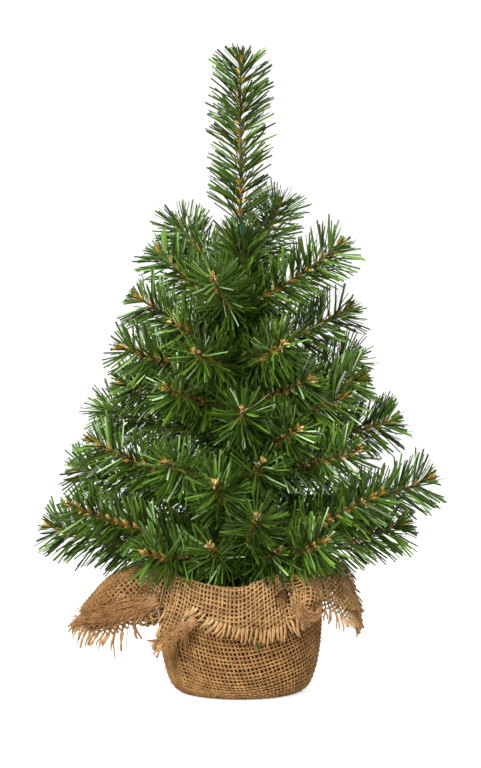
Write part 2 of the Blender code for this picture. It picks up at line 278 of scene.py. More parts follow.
# ---------------------------------------------------------------- The branches
# Each branch is a core of two wires twisted together, which grip strips of green film by their middle.
# The strips stand out all round in a double spiral and lean towards the tip.
CURL = math.radians(16)  # how much a branch sweeps up along its length
WIRE_RADIUS = 0.00052
WIRE_PITCH = 0.014
NEEDLE_LENGTH = 0.0262
NEEDLES_PER_METRE = 4800
LEADER_NEEDLES_PER_METRE = 3900
SCALES_PER_METRE = 2200
BUD_SCALES = 26
HAIRS = 7
TRIM_PAST_TIP = 0.0054  # the brush is cut off flat this far past the wire's end
FILM_THICKNESS = 0.00011
LINE_POINTS = 129  # along each branch's centreline


def film(name, stops, roughness, specular):
    """Plastic film: each strip's own tone picks its colour from the stops, which are (tone, colour)."""
    material = bpy.data.materials.new(name)
    material.use_nodes = True
    tree = material.node_tree
    shader = tree.nodes["Principled BSDF"]
    tone = tree.nodes.new("ShaderNodeAttribute")
    tone.attribute_name = "tone"
    ramp = tree.nodes.new("ShaderNodeValToRGB")
    while len(ramp.color_ramp.elements) < len(stops):
        ramp.color_ramp.elements.new(0.5)
    for element, (position, color) in zip(ramp.color_ramp.elements, stops):
        element.position = position
        element.color = (*color, 1)
    tree.links.new(tone.outputs["Fac"], ramp.inputs["Fac"])
    tree.links.new(ramp.outputs["Color"], shader.inputs["Base Color"])
    shader.inputs["Roughness"].default_value = roughness
    shader.inputs["Specular IOR Level"].default_value = specular
    return material


def centreline(joint, node):
    """Distances, points, headings, outward and side vectors of a branch's wire: an arc of CURL from its bend
    to its node's far end."""
    pivot = np.array(joint["pos_m"])
    axis = np.array(joint["axis"])
    data = frame["nodes"][node].data
    points = np.empty(len(data.vertices) * 3, dtype=np.float32)
    data.vertices.foreach_get("co", points)
    points = points.reshape(-1, 3)
    away = np.linalg.norm(points - pivot, axis=1)
    chord = points[away > away.max() - 0.0003].mean(axis=0) - pivot
    out = np.array([-axis[1], axis[0], 0.0])
    curl = 0.0 if node == "leader" else CURL
    rise = math.atan2(chord[2], chord @ out)
    length = np.linalg.norm(chord) * (curl / 2 / math.sin(curl / 2) if curl else 1.0)
    along = np.linspace(0, length, LINE_POINTS)
    heading = rise + curl * (along / length - 0.5)
    step = (heading[1:] + heading[:-1]) / 2
    reach = np.concatenate([[0], np.cumsum(np.cos(step))]) * length / (LINE_POINTS - 1)
    climb = np.concatenate([[0], np.cumsum(np.sin(step))]) * length / (LINE_POINTS - 1)
    places = pivot + reach[:, None] * out + climb[:, None] * np.array([0, 0, 1.0])
    side = np.cross([0, 0, 1.0], out)
    return along, places, heading, out, side


def stand_at(line, along):
    """Place, tangent and the two normals of a centreline at distances along it."""
    marks, places, heading, out, side = line
    spot = np.stack([np.interp(along, marks, places[:, axis]) for axis in range(3)], -1)
    angle = np.interp(along, marks, heading)
    tangent = np.cos(angle)[:, None] * out + np.sin(angle)[:, None] * np.array([0, 0, 1.0])
    normal = np.cross(side, tangent)
    return spot, tangent, normal, np.broadcast_to(side, tangent.shape)


STRIP_POINTS = 16  # four stations of four corners


def strips(root, aim, face, bend, length, width, thickness=FILM_THICKNESS):
    """Points and quads of flat closed strips: four stations along each, bent as the square of the distance
    from its root, where it is narrow."""
    stations = np.array([0.0, 0.33, 0.67, 1.0])
    broad = np.array([0.55, 1.0, 1.0, 0.86])
    lie = np.cross(aim, face)
    lie /= np.linalg.norm(lie, axis=1, keepdims=True)
    face = np.cross(lie, aim)
    middle = (
        root[:, None]
        + aim[:, None] * (length[:, None] * stations)[..., None]
        + bend[:, None] * (length[:, None] * stations**2)[..., None]
    )
    half = width[:, None] / 2 * broad
    thick = thickness / 2
    corners = np.array([(1, 1), (-1, 1), (-1, -1), (1, -1)])
    points = (
        middle[:, :, None]
        + face[:, None, None] * (half[..., None] * corners[:, 0])[..., None]
        + lie[:, None, None] * (thick * corners[:, 1])[None, None, :, None]
    )
    pattern = np.concatenate([grid_quads(4, 4, True), [[3, 2, 1, 0], [12, 13, 14, 15]]])
    quads = np.arange(len(root))[:, None, None] * STRIP_POINTS + pattern[None]
    return points.reshape(-1, 3), quads.reshape(-1, 4)


def with_tone(piece, tone):
    """Stores one tone for each strip on all of its points."""
    layer = piece.data.attributes.new("tone", "FLOAT", "POINT")
    layer.data.foreach_set("value", np.repeat(tone, STRIP_POINTS).astype(np.float32))


def make_strips(
    name, line, chance, count, spread, tilt, lengths, widths, tones, material,
    thickness=FILM_THICKNESS, trimmed=True, twist=0.3, ringed=0.0,
):
    """One piece of film strips round a wire. Each leaves it at a distance from spread, at a turn of the double
    spiral plus some scatter, and stands off it by tilt (mean and scatter, in degrees), less so near the tip.
    Trimmed strips end in a flat plane past the tip. Ringed strips are drawn into rings half a turn apart."""
    length = line[0][-1]
    along = chance.uniform(*spread, count)
    if ringed:
        ring = WIRE_PITCH / 2
        along = np.clip(np.round(along / ring) * ring + chance.normal(0, ringed, count), *spread)
    spot, tangent, normal, side = stand_at(line, along)
    turn = math.tau * along / WIRE_PITCH + math.pi * chance.integers(0, 2, count)
    turn = turn + chance.normal(0, twist, count)
    outward = np.cos(turn)[:, None] * normal + np.sin(turn)[:, None] * side
    upright = 0.35 + 0.65 * np.clip((length - along) / 0.012, 0, 1)
    lean = chance.normal(math.radians(tilt[0]), math.radians(tilt[1]), count) * upright
    aim = np.cos(lean)[:, None] * tangent + np.sin(lean)[:, None] * outward
    aim /= np.linalg.norm(aim, axis=1, keepdims=True)
    reach = chance.uniform(*lengths, count)
    ending = stand_at(line, np.array([length]))[1][0]
    ahead = (line[1][-1] - spot) @ ending + TRIM_PAST_TIP + chance.normal(0, 0.0009, count)
    if trimmed:
        reach = np.clip(np.minimum(reach, ahead / np.maximum(aim @ ending, 0.05)), 0.003, None)
    face = tangent + chance.normal(0, 0.45, (count, 3))
    bend = outward * chance.normal(-0.02, 0.04, count)[:, None] + chance.normal(0, 0.025, (count, 3))
    width = chance.uniform(*widths, count)
    points, quads = strips(spot + outward * WIRE_RADIUS, aim, face, bend, reach, width, thickness)
    piece = lay_mesh(name, points, quads, material)
    with_tone(piece, np.clip(chance.normal(*tones, count), 0, 1))
    return piece


WIRE_SIDES = 6
WIRE_STEP = 0.0012
NEAR_CAP = np.array([[0, 5, 4, 3], [0, 3, 2, 1]])
FAR_CAP = np.array([[0, 1, 2, 3], [0, 3, 4, 5]])


def make_wire(name, line, material):
    """Two round wires wound about the centreline, each a circle carried along a helix of WIRE_PITCH."""
    length = line[0][-1]
    steps = max(int(length / WIRE_STEP), 12)
    along = np.linspace(0.0, length, steps)
    spot, _, normal, side = stand_at(line, along)
    rim = np.linspace(0, math.tau, WIRE_SIDES, endpoint=False)
    points, quads = [], []
    for wire in range(2):
        turn = math.tau * along / WIRE_PITCH + math.pi * wire
        middle = spot + WIRE_RADIUS * (np.cos(turn)[:, None] * normal + np.sin(turn)[:, None] * side)
        ring = np.cos(rim)[None, :, None] * normal[:, None] + np.sin(rim)[None, :, None] * side[:, None]
        ring = middle[:, None] + WIRE_RADIUS * ring
        points.append(ring.reshape(-1, 3))
        base = wire * steps * WIRE_SIDES
        far_end = base + (steps - 1) * WIRE_SIDES
        quads += [grid_quads(steps, WIRE_SIDES, True) + base, NEAR_CAP + base, FAR_CAP + far_end]
    return lay_mesh(name, np.concatenate(points), np.concatenate(quads), material, True)


# Each strip's tone is random. The palest stop is a whitish green that stands for lamp light glancing off the
# glossy film: a painted sheen on the strips whose tone comes out at the top.
green_film = film(
    "green_film",
    (
        (0.0, (0.010, 0.016, 0.003)),
        (0.35, (0.024, 0.045, 0.004)),
        (0.65, (0.059, 0.123, 0.009)),
        (0.9, (0.113, 0.232, 0.032)),
        (1.0, (0.29, 0.43, 0.20)),
    ),
    roughness=0.34, specular=0.26,
)
brown_film = film(
    "brown_film",
    ((0.0, (0.16, 0.062, 0.006)), (0.55, (0.47, 0.228, 0.022)), (1.0, (0.86, 0.68, 0.34))),
    roughness=0.42, specular=0.5,
)
wire_paint = mottled("wire_paint", (0.018, 0.020, 0.008), (0.07, 0.045, 0.018), 400, 0.5, 0.2)
for number, joint in enumerate(frame["joints"]):
    body = joint["child"]
    is_leader = body == "leader"
    node = frame["record"]["behaviour"]["bodies"][body][0]
    line = centreline(joint, node)
    length = line[0][-1]
    chance = np.random.default_rng(1200 + number)
    wire = make_wire(f"wire_{body}", line, wire_paint)
    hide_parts(node)
    # Buds on branches that point at the camera get a paler, creamier tone: a painted highlight, where the lamps in
    # front light them.
    front_highlight = 0.0 if is_leader else max(0.0, -line[3][1])
    needles = make_strips(
        f"needles_{body}", line, chance,
        int(length * (LEADER_NEEDLES_PER_METRE if is_leader else NEEDLES_PER_METRE)),
        spread=(0.0006, length - 0.0005), tilt=(59, 4.5), lengths=(NEEDLE_LENGTH * 0.90, NEEDLE_LENGTH * 1.02),
        widths=(0.0008, 0.0015), tones=(0.40 if is_leader else 0.48, 0.26), material=green_film,
    )
    scales = make_strips(
        f"scales_{body}", line, chance, int(length * SCALES_PER_METRE),
        spread=(0.004, length), tilt=(48, 10), lengths=(0.0028, 0.0050), widths=(0.0006, 0.0011),
        tones=(0.34 if is_leader else 0.44, 0.17), material=brown_film, twist=1.5, ringed=0.0008,
    )
    bud = make_strips(
        f"bud_{body}", line, chance, BUD_SCALES,
        spread=(length - 0.004, length), tilt=(58, 20), lengths=(0.0034, 0.0062), widths=(0.0007, 0.0012),
        tones=(0.44 + 0.42 * front_highlight, 0.18), material=brown_film,
    )
    hairs = make_strips(
        f"hairs_{body}", line, chance, HAIRS,
        spread=(length * 0.3, length - 0.014), tilt=(50, 12), lengths=(0.018, 0.029),
        widths=(0.00022, 0.00036), tones=(0.75, 0.25), material=green_film,
        thickness=0.00010, trimmed=is_leader, twist=0.6,
    )
    for piece in (wire, needles, scales, bud, hairs):
        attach(piece, body)

# The trunk is wrapped in the same film, which fills the gaps between the branches.
TRUNK_FOOT, TRUNK_HEIGHT = 0.066, 0.252
trunk_line = (
    np.linspace(0, TRUNK_HEIGHT, LINE_POINTS),
    np.linspace([0, 0, TRUNK_FOOT], [0, 0, TRUNK_FOOT + TRUNK_HEIGHT], LINE_POINTS),
    np.full(LINE_POINTS, math.radians(90)),
    np.array([1.0, 0, 0]),
    np.array([0, 1.0, 0]),
)
chance = np.random.default_rng(90)
trunk_needles = make_strips(
    "trunk_needles", trunk_line, chance, 2600,
    spread=(0.001, 0.246), tilt=(50, 18), lengths=(0.016, 0.027), widths=(0.0010, 0.0018),
    tones=(0.35, 0.2), material=green_film, trimmed=False, twist=1.5,
)
crown_needles = make_strips(
    "crown_needles", trunk_line, chance, 170,
    spread=(0.224, 0.2515), tilt=(64, 12), lengths=(0.014, 0.024), widths=(0.0007, 0.0012),
    tones=(0.36, 0.2), material=green_film, trimmed=False, twist=1.5,
)
for piece in (trunk_needles, crown_needles):
    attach(piece, "base")


# ---------------------------------------------------------------- The burlap's shape
# One length of burlap wrapped round the bowl, with its top edge turned out and down as a cuff. The cuff stands
# out as two loose flaps, a long one at the left and a short one at the right, and lies close in front.
BODY = (  # the middle of the cloth under the bowl and up its side, as radius and height
    (0.0300, 0.0012),
    (0.0385, 0.0012),
    (0.0440, 0.0032),
    (0.0488, 0.0090),
    (0.0532, 0.0250),
    (0.0555, 0.0440),
    (0.0558, 0.0580),
)
CUFF = (  # azimuth in degrees, then radius and height in mm of the crest, the flap's middle and the hem
    (5, 53, 86, 72, 76, 83, 50),
    (20, 53, 87, 70, 82, 88, 60),
    (38, 53, 87, 70, 90, 90, 84),
    (55, 53, 86, 63, 84, 74, 66),
    (90, 53, 84, 60, 76, 67, 56),
    (130, 53, 83, 61, 75, 69, 54),
    (158, 54, 85, 74, 81, 88, 66),
    (174, 55, 87, 86, 80, 108, 57),
    (186, 55, 87, 87, 79, 113, 50),
    (194, 55, 87, 86, 74, 104, 45),
    (201, 54, 86, 80, 63, 90, 44),
    (207, 54, 86, 77, 56, 66, 58),
    (213, 54, 85, 70, 56, 62, 62),
    (219, 53, 83, 61, 67, 65, 61),
    (226, 53, 82, 65, 63, 79, 41),
    (232, 53, 81, 62, 66, 69, 52),
    (238, 53, 80, 60, 71, 64, 65),
    (252, 53, 78.5, 60, 70, 64, 58),
    (270, 53, 77.5, 60, 69, 64, 52),
    (286, 52, 82.5, 60, 71, 65, 51),
    (297, 50, 85, 56, 75, 64, 53),
    (303, 49, 86, 56, 72, 63, 55),
    (309, 55, 86, 71, 78, 67, 57),
    (320, 57, 85, 72, 71, 65, 60),
    (331, 56, 84, 64, 74, 63, 62),
    (342, 53, 84, 62, 76, 74, 55),
    (352, 53, 85, 67, 77, 81, 51),
)


def cubic(low, low_slope, high, high_slope, t):
    """The cubic from low to high, as t goes from 0 to 1, with these slopes at its ends."""
    return (
        low * (2 * t**3 - 3 * t**2 + 1)
        + low_slope * (t**3 - 2 * t**2 + t)
        + high * (3 * t**2 - 2 * t**3)
        + high_slope * (t**3 - t**2)
    )


def eased(azimuth, stations, values):
    """A closed smooth curve through values at stations round the circle: a cubic between each two, whose
    slopes are those of the chords across its ends."""
    stations = np.asarray(stations, float)
    values = np.asarray(values, float)
    around = np.concatenate([stations[-2:] - 360, stations, stations[:2] + 360])
    held = np.concatenate([values[-2:], values, values[:2]])
    slope = (held[2:] - held[:-2]) / (around[2:] - around[:-2])
    place = np.mod(np.asarray(azimuth, float) - stations[0], 360) + stations[0]
    first = np.clip(np.searchsorted(around, place, side="right") - 1, 1, len(around) - 3)
    span = around[first + 1] - around[first]
    t = (place - around[first]) / span
    return cubic(held[first], slope[first - 1] * span, held[first + 1], slope[first] * span, t)


def smooth_path(knots, fine):
    """Points along a smooth curve through each row of knots (rows, knots, 2), by the same rule as eased."""
    before, after = 2 * knots[:, :1] - knots[:, 1:2], 2 * knots[:, -1:] - knots[:, -2:-1]
    padded = np.concatenate([before, knots, after], axis=1)
    place = np.linspace(0, knots.shape[1] - 1, fine)
    first = np.minimum(place.astype(int), knots.shape[1] - 2)
    t = (place - first)[None, :, None]
    slope = (padded[:, 2:] - padded[:, :-2]) / 2
    return cubic(knots[:, first], slope[:, first], knots[:, first + 1], slope[:, first + 1], t)


# The cloth's shape as a table: for each azimuth, radius and height at equal distances up the cloth.
AROUND = np.arange(0, 360, 0.5)
UP_STEP = 0.0005
PROFILE_POINTS = 600
cuff_azimuths, *cuff_columns = zip(*CUFF)
shape = np.stack([eased(AROUND, cuff_azimuths, np.divide(column, 1000)) for column in cuff_columns], -1)
shape = shape.reshape(-1, 3, 2)
crest = shape[:, 0]
side = np.broadcast_to(np.array(BODY), (len(AROUND), len(BODY), 2))
rim = side[:, -1]
collar = np.stack([(rim[:, 0] + crest[:, 0]) / 2 - 0.0005, rim[:, 1] * 0.55 + crest[:, 1] * 0.45], -1)
turn_out = np.stack([crest[:, 0] + 0.0045, crest[:, 1] + 0.0008], -1)
knots = np.concatenate([side, collar[:, None], crest[:, None], turn_out[:, None], shape[:, 1:]], axis=1)
profile = smooth_path(knots, PROFILE_POINTS)
legs = np.linalg.norm(np.diff(profile, axis=1), axis=2)
runs = np.concatenate([np.zeros((len(AROUND), 1)), np.cumsum(legs, axis=1)], axis=1)
hem_at = runs[:, -1]
UP = np.arange(0, hem_at.max() + 0.02, UP_STEP)
table = np.empty((len(AROUND), len(UP), 2))
for row in range(len(AROUND)):
    inside = np.minimum(UP, hem_at[row])
    past_hem = (UP - inside)[:, None]
    last = profile[row, -1] - profile[row, -12]
    last = last / np.linalg.norm(last)
    upto_hem = np.stack([np.interp(inside, runs[row], values) for values in profile[row].T], -1)
    table[row] = upto_hem + past_hem * last


PLEAT_AZIMUTH = 221


def cloth_at(azimuth, up):
    """Points of the middle of the cloth at azimuths in degrees and distances up the cloth, read from the table
    between its entries, with a slow ripple and one upright pleat on the left of the body."""
    row = np.mod(azimuth, 360) * 2
    column = np.clip(up / UP_STEP, 0, len(UP) - 2)
    this, low = row.astype(int) % len(AROUND), column.astype(int)
    after = (this + 1) % len(AROUND)
    beside, above = (row - np.floor(row))[..., None], (column - low)[..., None]
    here = table[this, low] * (1 - above) + table[this, low + 1] * above
    there = table[after, low] * (1 - above) + table[after, low + 1] * above
    spot = here * (1 - beside) + there * beside
    radius, height = spot[..., 0], spot[..., 1]
    rising = np.clip((up - 0.012) / 0.02, 0, 1)
    away = np.mod(azimuth - PLEAT_AZIMUTH + 180, 360) - 180
    pleat = 0.0020 * np.exp(-((away / 4.0) ** 2)) - 0.0006 * np.exp(-(((away - 8) / 3.5) ** 2))
    ripple = 0.00035 * (1 + np.sin(np.radians(azimuth) * 9 + up * 60)) * (up < 0.09)
    radius = radius + rising * pleat + rising * ripple
    turn = np.radians(azimuth)
    return np.stack([radius * np.cos(turn), radius * np.sin(turn), height], -1)


def cloth_frame(azimuth, up):
    """Points of the cloth with the directions round it, up it and out of its face."""
    degrees, metres = 0.7, 0.0007  # to the neighbours that give the directions
    point = cloth_at(azimuth, up)
    around = cloth_at(azimuth + degrees, up) - cloth_at(azimuth - degrees, up)
    upward = cloth_at(azimuth, up + metres) - cloth_at(azimuth, np.maximum(up - metres, 0))
    around /= np.linalg.norm(around, axis=-1, keepdims=True)
    upward /= np.linalg.norm(upward, axis=-1, keepdims=True)
    face = np.cross(around, upward)
    face /= np.linalg.norm(face, axis=-1, keepdims=True)
    return point, around, upward, face


# ---------------------------------------------------------------- The weave
# Plain-weave jute: thick, loose upright threads and cross threads that pass over and under each other. The
# uprights are evenly spaced round the widest part of the cuff, so they crowd together on the bowl below it.
THREAD_PITCH = 0.0029
THREAD_WIDE = 0.00074  # half width of an upright thread, across the cloth's face
CROSS_WIDE = 0.00068  # half width of a cross thread
THREAD_THICK = 0.00056  # half thickness of a thread
CRIMP = 0.00046  # how far a thread rises and falls as it passes over and under the others
SIDES = 4  # of a thread
fine = np.arange(0, 360.001, 0.5)
flap_radius, hem_radius = (np.interp(fine, AROUND, shape[:, knot, 0], period=360) for knot in (1, 2))
widest = np.maximum(flap_radius, hem_radius)
by_left_flap = np.exp(-(((fine - 190) / 26) ** 4))
crowded = 0.060 + (widest - 0.060) * (0.62 + 0.62 * by_left_flap)
girth = np.concatenate([[0], np.cumsum(np.radians(0.5) * crowded[:-1])])
UPRIGHTS = int(girth[-1] / THREAD_PITCH / 2) * 2
SACK_LEAN = -330.0  # how far the uprights lean round the bowl, in degrees for a metre of cloth
LEAN_CHANGE = 0.8  # share by which they lean more at the right of the front and less at its left
CROSS_SAG = 0.0090  # how far the cross threads sag at the front and back, and climb at the sides
GRAIN = 265.0  # azimuth at which they hang lowest


def thread_azimuth(number, weft):
    """Azimuth of an upright thread, by number round the sack, at a cross thread's place up the cloth: its own
    place round the cuff, plus a lean that grows down the bowl's side."""
    place = np.interp(np.mod(number, UPRIGHTS) / UPRIGHTS * girth[-1], girth, fine)
    lean = SACK_LEAN * (1 + LEAN_CHANGE * np.sin(np.radians(place - GRAIN)))
    return place + lean * (np.minimum(weft, 0.078) - 0.078)


def thread_level(weft, azimuth):
    """Distance up the cloth of a cross thread whose place is weft: it sags and climbs round the bowl as the
    cosine of twice the azimuth, and lies level again under the bowl and in the cuff."""
    share = np.clip(weft / 0.042, 0, 1) * np.clip((0.108 - weft) / 0.042, 0, 1)
    share = share * share * (3 - 2 * share)
    return weft - CROSS_SAG * share * np.cos(2 * np.radians(azimuth - GRAIN))


def hem_for(number):
    """Distance up the cloth of the hem at an upright thread."""
    azimuth = thread_azimuth(number, 0.1)
    return np.interp(np.mod(azimuth, 360), AROUND, hem_at, period=360)


def tubes(middle, wide, thick, breadth, depth):
    """Points of tubes (threads, steps, SIDES, 3): an ellipse of half sizes breadth along wide and depth along
    thick, carried along each thread's middle."""
    rim = np.linspace(0, math.tau, SIDES, endpoint=False)
    return (
        middle[..., None, :]
        + wide[..., None, :] * (breadth[..., None] * np.cos(rim))[..., None]
        + thick[..., None, :] * (depth[..., None] * np.sin(rim))[..., None]
    )


def tube_quads(kept, closed=False):
    """Quads of tubes over (threads, steps), where kept says which steps a thread has, with a quad
    across both ends of each run."""
    threads, steps = kept.shape
    number = np.arange(threads * steps).reshape(threads, steps)
    after = np.roll(number, -1, axis=1)
    joined = kept & np.roll(kept, -1, axis=1)
    if not closed:
        joined[:, -1] = False
    low, high = number[joined], after[joined]
    side = np.arange(SIDES)
    beside = (side + 1) % SIDES
    low, high = low[:, None] * SIDES, high[:, None] * SIDES
    walls = np.stack([low + side, low + beside, high + beside, high + side], -1).reshape(-1, 4)
    before = np.roll(joined, 1, axis=1)
    starts, ends = number[joined & ~before], number[before & ~joined]
    first = starts[:, None] * SIDES + np.array([3, 2, 1, 0])
    last = ends[:, None] * SIDES + np.array([0, 1, 2, 3])
    return np.concatenate([walls, first, last])


def jute_group():
    """Colour and relief of jute. Fine fibres along each thread, from the thread's own map, over slow changes
    from thread to thread pick a colour between Low and High. It is darker and redder below the cuff and out
    in the left flap: painted shade."""
    given = (("Place", "Vector"), ("Spun", "Vector"), ("Low", "Color"), ("High", "Color"))
    group, ends, result = new_group("spun_jute", given, (("Color", "Color"), ("Height", "Float")))
    link = group.links.new
    stretch = group.nodes.new("ShaderNodeMapping")
    stretch.inputs["Scale"].default_value = (420.0, 9.0, 1.0)
    fibres = group.nodes.new("ShaderNodeTexNoise")
    fibres.inputs["Scale"].default_value = 1.0
    fibres.inputs["Detail"].default_value = 5.0
    patches = group.nodes.new("ShaderNodeTexNoise")
    patches.inputs["Scale"].default_value = 130.0
    patches.inputs["Detail"].default_value = 3.0
    slow = group.nodes.new("ShaderNodeMath")
    slow.operation = "MULTIPLY"
    slow.inputs[1].default_value = 0.45
    both = group.nodes.new("ShaderNodeMath")
    both.operation = "MULTIPLY_ADD"
    both.inputs[1].default_value = 0.55
    link(ends.outputs["Spun"], stretch.inputs["Vector"])
    link(stretch.outputs["Vector"], fibres.inputs["Vector"])
    link(ends.outputs["Place"], patches.inputs["Vector"])
    link(patches.outputs["Fac"], slow.inputs[0])
    link(fibres.outputs["Fac"], both.inputs[0])
    link(slow.outputs["Value"], both.inputs[2])
    split = group.nodes.new("ShaderNodeSeparateXYZ")
    link(ends.outputs["Place"], split.inputs["Vector"])
    either = group.nodes.new("ShaderNodeMath")
    either.operation = "MAXIMUM"
    # Painted shade: darker and redder below the cuff (Z under 58 mm) and towards the left flap's tip (X under -60
    # mm).
    for slot, (way, shade_starts, shade_full) in enumerate((("Z", 0.058, 0.048), ("X", -0.060, -0.070))):
        ranged = group.nodes.new("ShaderNodeMapRange")
        ranged.inputs["From Min"].default_value = shade_starts
        ranged.inputs["From Max"].default_value = shade_full
        link(split.outputs[way], ranged.inputs["Value"])
        link(ranged.outputs["Result"], either.inputs[slot])
    tint = group.nodes.new("ShaderNodeMix")
    tint.data_type = "RGBA"
    tint.blend_type = "MULTIPLY"
    share_in, unshaded_in, painted_shade_in = tint.inputs[0], tint.inputs[6], tint.inputs[7]
    painted_shade_in.default_value = (0.86, 0.79, 0.68, 1.0)
    link(either.outputs["Value"], share_in)
    link(two_tone(group, ends, both.outputs["Value"], 0.34, 0.66), unshaded_in)
    link(tint.outputs[2], result.inputs["Color"])
    link(fibres.outputs["Fac"], result.inputs["Height"])
    return group


spun_jute = jute_group()


def jute_material(name, low, high):
    """Jute of two colours, which reads the map that with_spun_map stores."""
    material, surface, _ = painted(name, spun_jute, low, high, 0.92, 0.2, 0.7, 0.0003)
    spun = material.node_tree.nodes.new("ShaderNodeUVMap")
    spun.uv_map = "spun"
    material.node_tree.links.new(spun.outputs["UV"], surface.inputs["Spun"])
    return material


def with_spun_map(piece, lengths):
    """A UV map along and round each thread, from the distance along it of each ring of SIDES points."""
    data = piece.data
    layer = data.uv_layers.new(name="spun")
    corner = np.empty(len(data.loops), dtype=np.int32)
    data.loops.foreach_get("vertex_index", corner)
    along = lengths.ravel()[corner // SIDES]
    around = np.abs((corner % SIDES) / SIDES - 0.5) * 2
    spun = np.stack([along, around + np.floor(along * 3)], -1)
    layer.data.foreach_set("uv", spun.astype(np.float32).ravel())


weaver = np.random.default_rng(77)
jute = jute_material("jute", (0.095, 0.049, 0.016), (0.43, 0.248, 0.095))
HOLLOW_PLACE = (0.0285, 0.0705)  # the middle of the hollow at the right of the front, as X and Z
HOLLOW_REACH = (0.0044, 0.0062)
CUFF_FROM = 0.107  # distance up the cloth at which the outer cuff begins


def in_hollow(point, up):
    """Which points of the outer cuff lie in the hollow beside the bunch, seen from the front as an ellipse."""
    across = (point[..., 0] - HOLLOW_PLACE[0]) / HOLLOW_REACH[0]
    upright = (point[..., 2] - HOLLOW_PLACE[1]) / HOLLOW_REACH[1]
    return (up > CUFF_FROM) & (point[..., 1] < -0.040) & (across**2 + upright**2 < 1)


FLAP_SWELL = 0.24  # share by which the threads are fuller in the two flaps, where the cloth hangs loose


def in_flap(azimuth, up):
    """How far points lie in the left or the right flap, from 0 to 1."""
    left = np.exp(-((np.mod(azimuth - 190 + 180, 360) - 180) / 30) ** 4)
    right = np.exp(-((np.mod(azimuth - 5 + 180, 360) - 180) / 38) ** 4)
    return (left + right) * np.clip((up - 0.092) / 0.012, 0, 1)


def upright_threads(name, number, first, short=0.0, sink=0.0):
    """The uprights of these numbers, from a distance up the cloth to short of the hem, sunk below the cloth's
    face by up to sink. Where they crowd together they are thinner."""
    weft = np.arange(first, hem_at.max() + 0.006, THREAD_PITCH / 2)
    wander = np.cumsum(weaver.normal(0, 0.012, (len(number), len(weft))), axis=1)
    wander += weaver.normal(0, 0.05, (len(number), 1))
    azimuth = thread_azimuth(number[:, None] + wander * 0.6, weft[None])
    up = thread_level(weft[None], azimuth)
    point, around, _, face = cloth_frame(azimuth, up)
    here = cloth_at(thread_azimuth(number[:, None] + 0.0, weft[None]), up)
    beside = cloth_at(thread_azimuth(number[:, None] + 1.0, weft[None]), up)
    breadth = np.minimum(THREAD_WIDE, 0.42 * np.linalg.norm(beside - here, axis=-1))
    uneven = 0.16 * np.sin(weft[None] * 190 + number[:, None] * 2.3)
    breadth = breadth * (1 + uneven + weaver.normal(0, 0.07, up.shape))
    breadth = breadth * (1 + FLAP_SWELL * in_flap(azimuth, up))
    weave = np.cos(math.pi * (weft[None] / THREAD_PITCH + number[:, None]))
    depth = sink * np.clip((up - first) / 0.02, 0, 1)
    middle = point + face * (CRIMP * weave - depth)[..., None]
    kept = (up <= hem_for(number)[:, None] + 0.0004 - short) & ~in_hollow(point, up)
    points = tubes(middle, around, face, breadth, np.full(breadth.shape, THREAD_THICK))
    piece = lay_mesh(name, points.reshape(-1, 3), tube_quads(kept), jute, True)
    with_spun_map(piece, weft[None] + number[:, None] * 0.37)
    return piece


def cross_threads(name, across, row, closed, first=0.0, short=0.0, sink=0.0):
    """Cross threads of these rows over a span of upright numbers, which may close round the sack."""
    drift = 0.00022 * np.sin(across[None] * 0.31 + row[:, None] * 1.7)
    drift += 0.00014 * np.sin(across[None] * 0.83 + row[:, None] * 2.9)
    weft = row[:, None] * THREAD_PITCH + drift
    azimuth = thread_azimuth(np.broadcast_to(across, weft.shape), weft)
    level = thread_level(weft, azimuth)
    point, _, upward, face = cloth_frame(azimuth, level)
    weave = -np.cos(math.pi * (across[None] + row[:, None]))
    uneven = 0.18 * np.sin(across[None] * 0.37 + row[:, None] * 1.9)
    breadth = CROSS_WIDE * (1 + uneven + weaver.normal(0, 0.07, level.shape))
    breadth = breadth * (1 + FLAP_SWELL * in_flap(azimuth, level))
    depth = sink * np.clip((level - first) / 0.02, 0, 1)
    middle = point + face * (CRIMP * weave - depth)[..., None]
    inside_hem = (level <= hem_for(across)[None] - 0.0008 - short) & (level >= first)
    kept = inside_hem & ~in_hollow(point, level)
    points = tubes(middle, upward, face, breadth, np.full(breadth.shape, THREAD_THICK))
    piece = lay_mesh(name, points.reshape(-1, 3), tube_quads(kept, closed)[:, ::-1], jute, True)
    with_spun_map(piece, across[None] * THREAD_PITCH + row[:, None] * 0.41)
    return piece


number = np.arange(UPRIGHTS)
rows = np.arange(1, int((hem_at.max() + 0.006) / THREAD_PITCH) + 1)
uprights = upright_threads("burlap_uprights", number, 0.0)
crosses = cross_threads("burlap_cross_threads", np.arange(0, UPRIGHTS, 0.5), rows, True)


# ---------------------------------------------------------------- The doubled flaps
# The left flap is folded under along its front edge, so a second layer of the same weave lies below the first
# there. The right flap hangs double too.
place = thread_azimuth(number.astype(float), 0.12)
folded = number[(place > 168) & (place < 216)]
fold_uprights = upright_threads("burlap_fold_uprights", folded, 0.094, 0.005, 0.0032)
fold_crosses = cross_threads(
    "burlap_fold_cross_threads", np.arange(folded[0], folded[-1], 0.5), rows, False, 0.094, 0.005, 0.0032
)
turned_in = number[np.mod(place + 30, 360) < 72]
right_uprights = upright_threads("burlap_right_fold_uprights", turned_in, 0.098, 0.006, 0.0034)
low_run, high_run = turned_in[turned_in < UPRIGHTS / 2], turned_in[turned_in >= UPRIGHTS / 2]
right_span = np.arange(high_run[0] - UPRIGHTS, low_run[-1], 0.5)
right_crosses = cross_threads("burlap_right_fold_cross_threads", right_span, rows, False, 0.098, 0.006, 0.0034)


